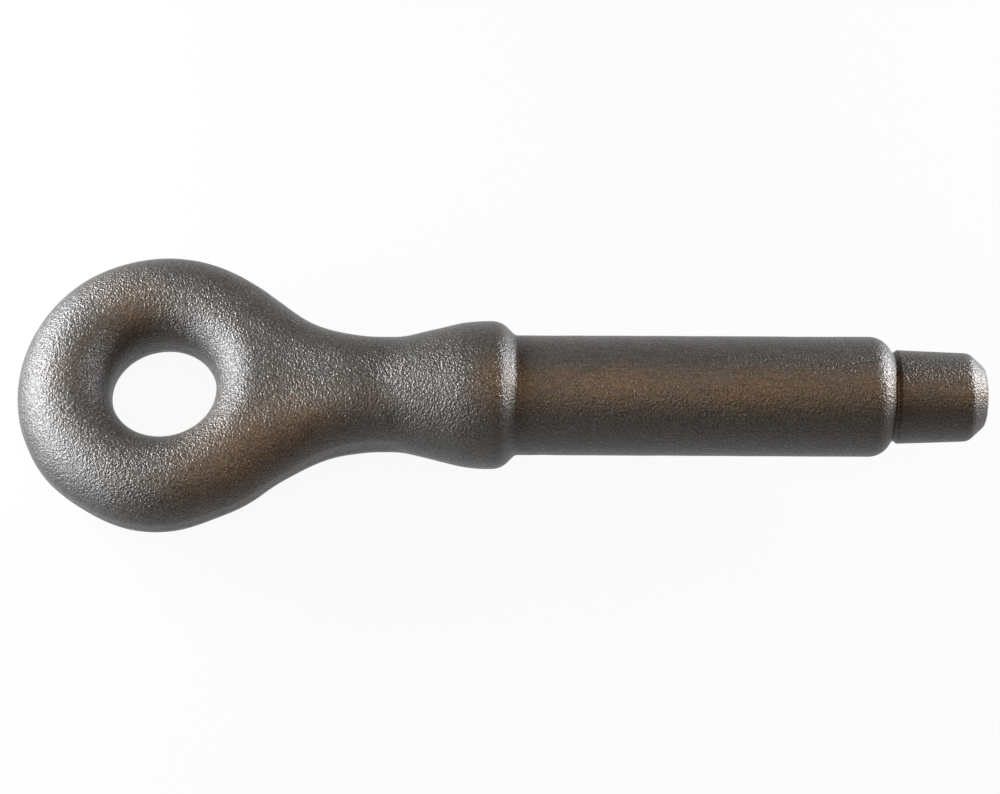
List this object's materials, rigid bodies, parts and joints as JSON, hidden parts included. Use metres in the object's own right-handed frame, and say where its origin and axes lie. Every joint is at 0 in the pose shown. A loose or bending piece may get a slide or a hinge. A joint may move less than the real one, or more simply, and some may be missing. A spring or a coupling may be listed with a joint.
{
  "type": "trailer drawbar eye",
  "caption": "Forged steel drawbar eye: a round-edged ring for a coupling pin on a waisted neck, with a flared collar and a round shank that welds into a drawbar tube.",
  "frame": {"origin": "centre of the eye's hole, in the forging's parting plane", "axes": "+Z along the hole, +X along the shank away from the ring"},
  "size_m": [0.4616, 0.1396, 0.071],
  "materials": {
    "forged_steel": "as forged and shot blasted, dark grey with brown scale, unpainted"
  },
  "bodies": {
    "root": {"drawbar_eye": "forged_steel"}
  },
  "joints": []
}
